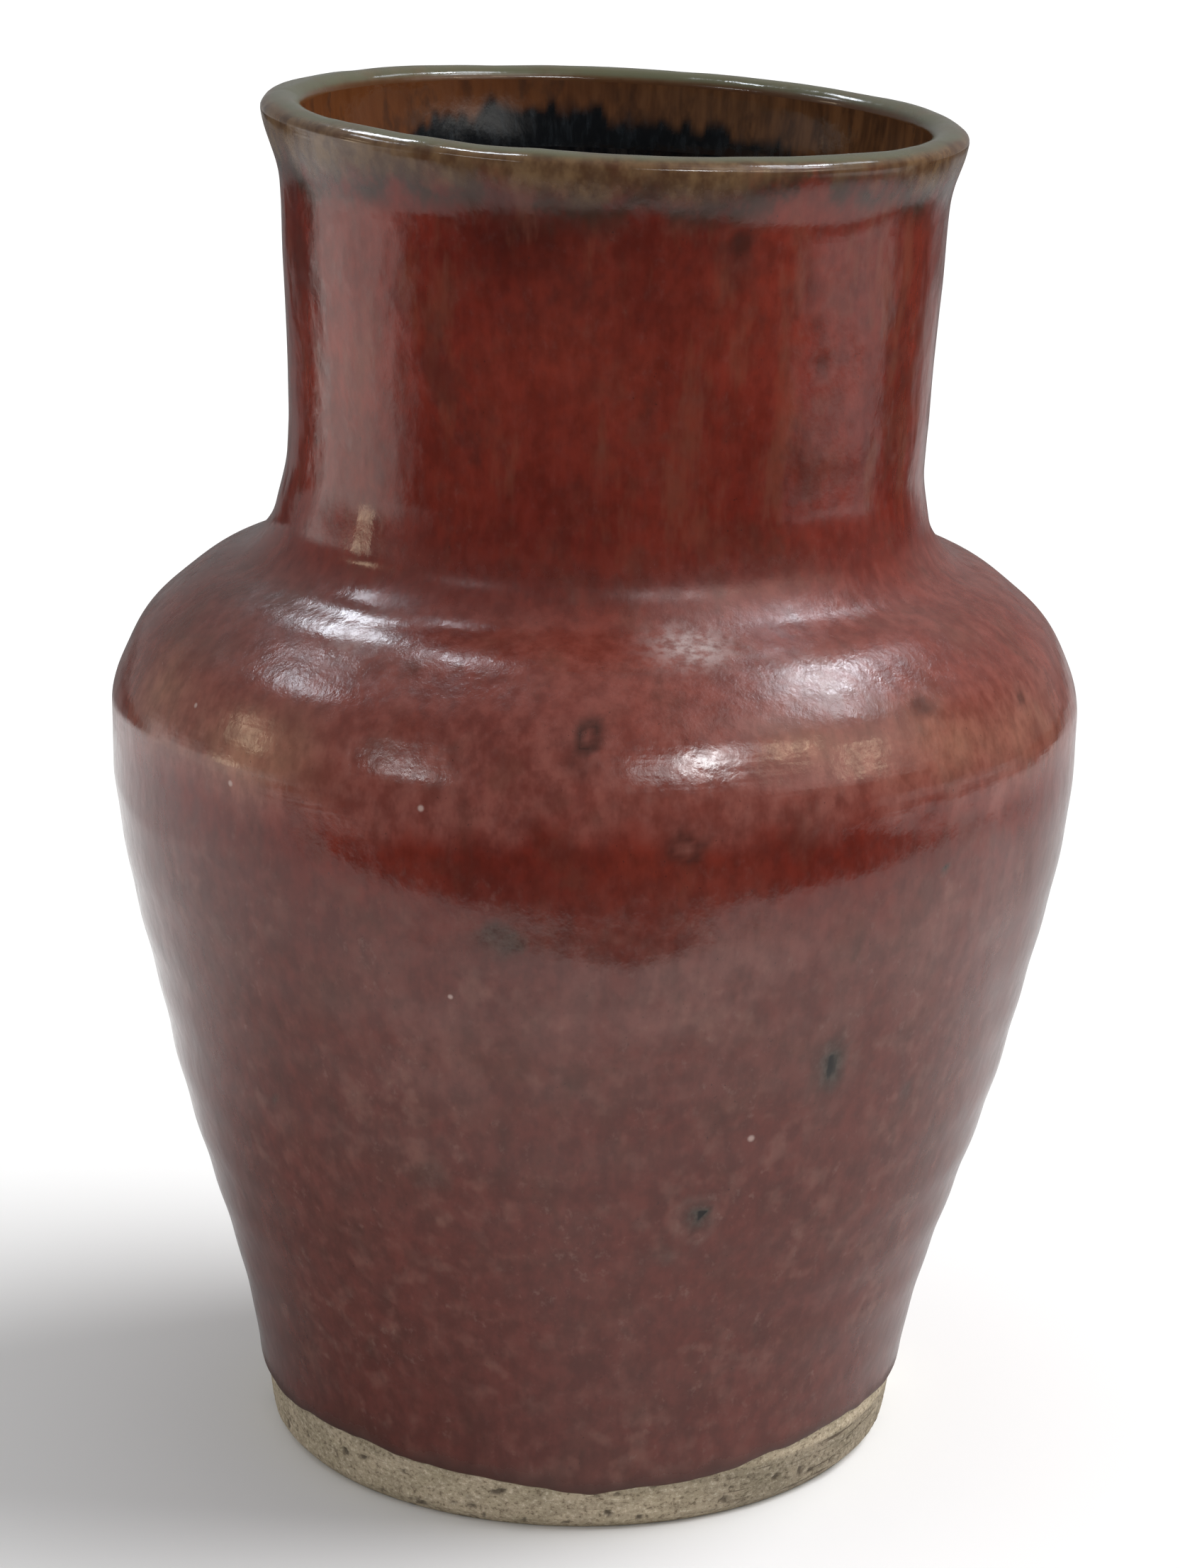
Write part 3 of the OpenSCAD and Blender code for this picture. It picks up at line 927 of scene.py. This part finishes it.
def outside_colour(glaze, grain):
    """Colour of both outside coats, so that they meet without a line."""
    colour = red_ground(glaze, grain)
    colour = neck_tones(glaze, grain, colour)
    return iron_stains(glaze, grain, colour)


def gloss(glaze, fine, low=0.1, high=0.2):
    """Roughness and the faint orange peel of a fired glaze."""
    ripple = glaze.bump(glaze.noise(6, 0.7, 2), 0.12)
    peel = glaze.bump(glaze.noise(1.0, 0.8, 2, 0.6), 0.02, ripple)
    return fine.span(0.3, 0.75, low, high), peel


def satin_gloss(glaze, fine):
    """The same for the red coat, which is satin and finely lined on the shoulder and wavy on the neck."""
    rough, peel = gloss(glaze, fine)
    satin = glaze.field("satin")
    peel = glaze.bump(glaze.noise(2.0, 1, 2, sideways=0.07) * glaze.field("blush"), 0.05, peel)
    peel = glaze.bump(glaze.noise(1.1, 1, 3, 0.6) * satin, 0.06, peel)
    peel = glaze.bump(glaze.noise(11, 0.6, 2) * glaze.field("neck"), 0.4, peel)
    return rough + satin * glaze.noise(5, 1, 2).span(0.3, 0.7, 0.03, 0.14), peel


def paint_red(piece, glint_specks):
    """Copper-red glaze with a darker lower edge, painted highlights and white specks of painted glint."""
    glaze = Surface("red_glaze")
    grain = glaze_grain(glaze)
    edge = glaze.field("edge")
    colour = outside_colour(glaze, grain).toward(GLAZE_EDGE, edge * 0.6)
    # Painted highlight: pale mottled patches where highlights sit on the shoulder
    painted_highlight = glaze.field("painted_highlight") * glaze.noise(1.8, 1, 3, 0.65).span(0.36, 0.64, 0.3, 1)
    colour = colour.toward(PAINTED_HIGHLIGHT_PALE, painted_highlight)
    # Painted glints: white specks where tiny bubbles catch the light
    for spot, half in glint_specks:
        away = glaze.value("ShaderNodeVectorMath", {0: glaze.place, 1: spot}, "Value", operation="DISTANCE")
        colour = colour.toward(GLINT_SPECK_PALE, away.span(0.3 * half, half, 0.7, 0))
    rough, peel = satin_gloss(glaze, grain.fine)
    rough = rough + edge * 0.35 + glaze.field("root") * 0.18 + glaze.field("brown") * BROWN_ROUGH
    glaze.finish(piece, colour, rough, Normal=peel, IOR=GLAZE_IOR)


def paint_lip(piece):
    """The same glaze, thin and green-grey over the crown of the lip."""
    glaze = Surface("lip_glaze")
    grain = glaze_grain(glaze)
    colour = outside_colour(glaze, grain)
    colour = colour.toward(CELADON, glaze.field("green") * grain.blotch.span(0.2, 0.6, 0.55, 1))
    colour = colour.toward(RIM_BROWN, glaze.field("inward"))
    rough, peel = gloss(glaze, grain.fine)
    rough = rough + glaze.field("brown") * BROWN_ROUGH * (1 - glaze.field("polish"))
    glaze.finish(piece, colour, rough, Normal=peel, IOR=GLAZE_IOR)


def paint_amber(piece):
    """Streaky amber glaze, orange on one side and blue-black where it is dark."""
    glaze = Surface("amber_glaze")
    fine = glaze.noise(1.2, 0.3, 3, 0.6)
    streak = glaze.noise(2.2, 0.1, 3, 0.6)
    amber = glaze.mix(DARK_AMBER, PALE_AMBER, streak.span(0.3, 0.7))
    amber = amber.toward(ORANGE, glaze.field("orange") * 0.75)
    amber = amber.toward(BURNT_AMBER, glaze.noise(3.5, 0.5, 3, 0.6).span(0.5, 0.68, 0, 0.6))
    dark = glaze.mix(DARK_STREAK, BLUE_STREAK, fine.span(0.45, 0.7))
    colour = amber.toward(dark, glaze.field("dark"))
    rough, peel = gloss(glaze, fine, 0.07, 0.16)
    glaze.finish(piece, colour, rough, Normal=peel, IOR=GLAZE_IOR)


def paint_liner(piece):
    """Blue-black glaze with brown clouds."""
    glaze = Surface("dark_glaze")
    fine = glaze.noise(1.4, 0.3, 3, 0.6)
    colour = glaze.mix(LINER_BLACK, LINER_GREY, fine.span(0.4, 0.72))
    colour = colour.toward(LINER_BROWN, glaze.noise(14, 0.5, 3).span(0.5, 0.8))
    rough, peel = gloss(glaze, fine, 0.08, 0.18)
    glaze.finish(piece, colour, rough, Normal=peel, IOR=GLAZE_IOR)


def paint_clay(piece):
    """Bare gritty clay with pits and turning marks, and painted light on its shaded left side."""
    clay = Surface("bare_clay")
    grain = clay.noise(0.8, 1.3, 5, 0.72)
    sand = clay.noise(1.5, 1.2, 3, 0.6, sideways=0.6)
    scratch = clay.noise(1.0, 2.0, 3, 0.6, sideways=0.09)
    worked_and_painted_light = clay.field("worked_and_painted_light")
    colour = clay.mix(BUFF, PALE_BUFF, clay.noise(7, 1.5, 3).span(0.3, 0.7))
    colour = colour.toward(SAND, sand.span(0.35, 0.6, 0.3, 0))
    colour = colour.toward(DARK_GRAIN, grain.span(0.34, 0.49, 0.85, 0))
    colour = colour.toward(PALE_GRAIN, grain.span(0.52, 0.68, 0, 0.75))
    # Darker on the worked right side; paler on the left, painted light on the side in shade
    colour = colour.scaled(worked_and_painted_light.span(-0.35, 1, 1.08, 0.63))
    colour = colour.toward(SCRATCH, scratch.span(0.3, 0.41, 1, 0) * worked_and_painted_light.span(0, 1, 0.25, 0.9))
    colour = colour.toward(PIT, clay.field("pit") * 0.8)
    relief = clay.bump(grain, 0.24, clay.bump(scratch, 0.14))
    clay.finish(piece, colour, CLAY_ROUGH, Normal=relief)


paint_red(red_piece, glint_speck_places)
paint_lip(lip_piece)
paint_amber(rim_piece)
paint_liner(liner_piece)
paint_clay(clay_piece)


# Stage, in metres

FLOOR_RADIUS = 9
FLOOR_POINTS = 96
FLOOR_COLOUR = (0.89, 0.89, 0.89)
FLAG_COLOUR = (0.03, 0.03, 0.03)
GLOW_COLOUR = (1, 0.97, 0.93)
FLOOR_FLAG_HALF = 1.8
FLOOR_FLAG_LIFT = 0.0005
ROOM_RADIUS = 1.79
ROOM_COLUMNS = 72
ROOM_ROWS = 31


def stage_mesh(name, points, faces, colour):
    """A matt thing on the stage, and its material."""
    mesh = bpy.data.meshes.new(name)
    mesh.from_pydata(points, [], faces)
    thing = bpy.data.objects.new(name, mesh)
    bpy.context.scene.collection.objects.link(thing)
    surface = Surface(name)
    surface.finish(thing, (*colour, 1), 1.0, Specular_IOR_Level=0.0)
    return thing, surface


def flag(name, points, faces):
    """A dark flag that shows only in the gloss of the glaze: its mesh, its material, and the inputs for how
    opaque it is and how strongly it glows."""
    thing, surface = stage_mesh(name, points, faces, FLAG_COLOUR)
    for rays in ("camera", "diffuse", "transmission", "shadow"):
        setattr(thing, "visible_" + rays, False)
    shader = surface.shader
    surface.feed(shader.inputs["Emission Color"], (*GLOW_COLOUR, 1))
    clear = surface.value("ShaderNodeBsdfTransparent", {}, 0)
    blend = surface.value("ShaderNodeMixShader", {1: clear, 2: Value(surface, shader.outputs[0])}, 0)
    surface.feed(surface.tree.nodes["Material Output"].inputs["Surface"], blend)
    return thing.data, surface, blend.socket.node.inputs[0], shader.inputs["Emission Strength"]


def floor_flag():
    """Dark floor round the pale sheet that the vase stands on, with a pale strip at the left and right."""
    half, lift = FLOOR_FLAG_HALF, FLOOR_FLAG_LIFT
    corners = [(-half, -half, lift), (half, -half, lift), (half, half, lift), (-half, half, lift)]
    _, surface, cover, glow = flag("floor_flag", corners, [(0, 1, 2, 3)])
    x, y = (surface.value("ShaderNodeSeparateXYZ", {0: surface.place}, axis) for axis in "XY")
    distance = surface.value("ShaderNodeVectorMath", {0: surface.place}, "Value", operation="LENGTH")
    wave = (surface.noise(70, 1, 3, 0.6) - 0.5) * 0.6
    way = (surface.math("ARCTAN2", x, y * -1.0) + wave) * math.degrees(1)

    def sector(start, full, still, end, most):
        """A number that is above 0 only between two directions, in degrees from the viewer's side."""
        return way.span(start, full, 0.0, most) * way.span(still, end, 1.0, 0.0)

    # Oval edge of the pale sheet, which reaches further forward on the left
    leftward = surface.math("MAXIMUM", -0.17 - x, 0.0)
    sheet_x = x / x.span(-0.02, 0.02, 0.52, 0.42)
    sheet_y = surface.math("MINIMUM", y, 0.0) / (leftward * 0.4 + 0.222)
    off_sheet = surface.math("SQRT", sheet_x * sheet_x + sheet_y * sheet_y).span(0.95, 1.05)

    window = sector(-125, -120, -84, -70, 1) * distance.span(0.45, 0.55)
    window = window * surface.noise(90, 1, 3, 0.6).span(0.35, 0.65, 0.55, 1.15)
    doorway = sector(54, 80, 104, 112, 0.85) * distance.span(0.5, 0.7, 0.15, 1)
    doorway = (doorway + sector(135, 141, 156, 166, 0.3)) * distance.span(0.8, 1.2, 1, 0.3)
    far = off_sheet * (1 - doorway)
    behind = y.span(0.3, 0.5) * (0.85 - doorway)
    right_behind = x.span(0.05, 0.12) * y.span(0.05, 0.12, 0, 0.35)
    close = surface.math("MAXIMUM", distance.span(0.08, 0.2, 0.42, 0.08), right_behind)
    close = close + sector(-95, -65, -30, -8, 0.14)
    surface.feed(cover, surface.math("MAXIMUM", surface.math("MAXIMUM", far, behind), close))
    surface.feed(glow, window * 1.55)


def room_flag():
    """Dark room round the vase, with a window at the left and lit walls at the right."""
    up = np.linspace(-1, 89, ROOM_ROWS)[:, None]
    turn = turn_from(np.arange(ROOM_COLUMNS) * 360 / ROOM_COLUMNS, 0)[None]
    rise = np.radians(up)
    points = places(turn, ROOM_RADIUS * np.cos(rise), ROOM_RADIUS * np.sin(rise)).reshape(-1, 3)
    index = np.arange(ROOM_ROWS * ROOM_COLUMNS).reshape(ROOM_ROWS, ROOM_COLUMNS)
    corners = [index[:-1], np.roll(index[:-1], -1, 1), np.roll(index[1:], -1, 1), index[1:]]
    faces = np.stack(corners, -1).reshape(-1, 4)

    window = 1.5 * hump(turn, -127, -117, -82, -64) * (1 - smooth(up, 3, 11))
    high_wall = 2.2 * hump(turn, 25, 50, 88, 108) * hump(up, 38, 50, 62, 74)
    low_wall = 1.4 * hump(turn, 30, 55, 78, 98) * hump(up, 15, 22, 36, 46)
    ahead = 1 - smooth(np.abs(turn), 50, 80)
    rightward = hump(turn, 30, 60, 110, 140)
    before = np.interp(up, [18, 30, 46, 62, 78], [0.97, 0.95, 0.9, 0.8, 0.7])
    aside = np.interp(up, [24, 34, 46, 62, 78], [0.75, 0.65, 0.6, 0.65, 0.7])
    aside = aside + 0.15 * rightward * (1 - smooth(up, 24, 34)) - 0.35 * rightward * hump(up, 46, 60, 74, 86)
    fields = {"cover": ahead * before + (1 - ahead) * aside, "shine": window + high_wall + low_wall}

    mesh, surface, cover, glow = flag("room_flag", points.tolist(), faces.tolist())
    for key, values in fields.items():
        flat = values.ravel().astype(np.float32)
        mesh.attributes.new(key, "FLOAT", "POINT").data.foreach_set("value", flat)
    surface.feed(cover, surface.field("cover"))
    surface.feed(glow, surface.field("shine"))


floor_points = places(np.arange(FLOOR_POINTS) * 360 / FLOOR_POINTS, FLOOR_RADIUS, 0)
stage_mesh("floor", floor_points.tolist(), [list(range(FLOOR_POINTS))], FLOOR_COLOUR)
floor_flag()
room_flag()


# Light

SKY_SEEN = 1.0
SKY_AS_LIGHT = 0.6
LAMP_DISTANCE = 1.6
LAMP_AIM = Vector((0, 0, 0.12))
# Lamps that only the gloss sees: colour, then azimuth, elevation, width and height in degrees, brightness
GLOSS_LAMPS = {
    "ceiling": ((0.85, 0.91, 1.0), [
        (-150, 48, 12, 9, 14), (-130, 69.5, 9, 6, 20), (-107, 47, 15, 7, 8), (103, 61.5, 13, 8, 8),
        (111, 54, 8, 5, 34), (84, 50, 12, 14, 6), (124, 45.5, 11, 7, 4),
    ]),
    "panel": ((0.96, 0.98, 1.0), [(-46, 27, 16, 1.5, 16), (28, 34, 13, 3, 26), (27, 34, 30, 6.5, 4)]),
    "shelf": ((1.0, 0.8, 0.55), [
        (51, 31, 9, 4, 8), (67, 22, 10, 4, 5), (-89, 18, 12, 5, 3.5), (-91, 3.5, 7, 6, 3.5),
    ]),
}


def sky():
    """White for the camera, the gloss and what is seen through, and dimmer as a light on matt things."""
    world = bpy.data.worlds.new("studio")
    bpy.context.scene.world = world
    world.use_nodes = True
    tree = world.node_tree
    rays = tree.nodes.new("ShaderNodeLightPath").outputs
    seen = rays["Is Camera Ray"]
    for kind in ("Is Glossy Ray", "Is Transmission Ray"):
        either = tree.nodes.new("ShaderNodeMath")
        either.operation = "MAXIMUM"
        tree.links.new(seen, either.inputs[0])
        tree.links.new(rays[kind], either.inputs[1])
        seen = either.outputs[0]
    level = tree.nodes.new("ShaderNodeMapRange")
    level.inputs["To Min"].default_value = SKY_AS_LIGHT
    level.inputs["To Max"].default_value = SKY_SEEN
    tree.links.new(seen, level.inputs["Value"])
    background = tree.nodes["Background"]
    background.inputs["Color"].default_value = (1, 1, 1, 1)
    tree.links.new(level.outputs[0], background.inputs["Strength"])


def lamp(name, kind, azimuth, elevation, only, colour=(1, 1, 1), **settings):
    """A lamp for gloss or matt only, with its azimuth counted from the viewer's side to the right."""
    data = bpy.data.lights.new(name, kind)
    data.color = colour
    for key, setting in settings.items():
        setattr(data, key, setting)
    thing = bpy.data.objects.new(name, data)
    rise = math.radians(elevation)
    way = Vector(places(azimuth, math.cos(rise), math.sin(rise)))
    thing.location = way * LAMP_DISTANCE + LAMP_AIM
    thing.rotation_mode = "QUATERNION"
    thing.rotation_quaternion = way.to_track_quat("Z", "Y")
    thing.visible_camera = False
    thing.visible_glossy = only == "gloss"
    thing.visible_diffuse = only == "matt"
    bpy.context.scene.collection.objects.link(thing)


sky()
lamp("key", "SUN", 97, 50, "matt", energy=2.7, angle=math.radians(42))
for name, (colour, lamps) in GLOSS_LAMPS.items():
    for azimuth, elevation, wide, tall, radiance in lamps:
        size, size_y = (2 * LAMP_DISTANCE * math.tan(math.radians(angle / 2)) for angle in (wide, tall))
        watts = radiance * math.pi * size * size_y
        shape = {"shape": "ELLIPSE", "size": size, "size_y": size_y}
        lamp(name, "AREA", azimuth, elevation, "gloss", colour, energy=watts, **shape)


# Camera

CAMERA_PLACE = Vector((0.0, -0.5796, 0.2645))
CAMERA_YAW = math.radians(-0.06)
CAMERA_PITCH = math.radians(15.95)
CAMERA_ROLL = math.radians(0.5)
SENSOR_WIDTH = 36
LENS = 92.94


def set_camera():
    """The camera of the photograph, turned aside, then down, then about its own axis."""
    camera = bpy.data.objects.new("camera", bpy.data.cameras.new("camera"))
    camera.data.sensor_width = SENSOR_WIDTH
    camera.data.lens = LENS
    camera.data.clip_start = 0.01
    aside = Matrix.Rotation(-CAMERA_YAW, 4, "Z")
    down = Matrix.Rotation(math.pi / 2 - CAMERA_PITCH, 4, "X")
    about = Matrix.Rotation(CAMERA_ROLL, 4, "Z")
    camera.matrix_world = Matrix.Translation(CAMERA_PLACE) @ aside @ down @ about
    bpy.context.scene.collection.objects.link(camera)
    bpy.context.scene.camera = camera


set_camera()
bpy.context.scene.view_settings.view_transform = "Standard"
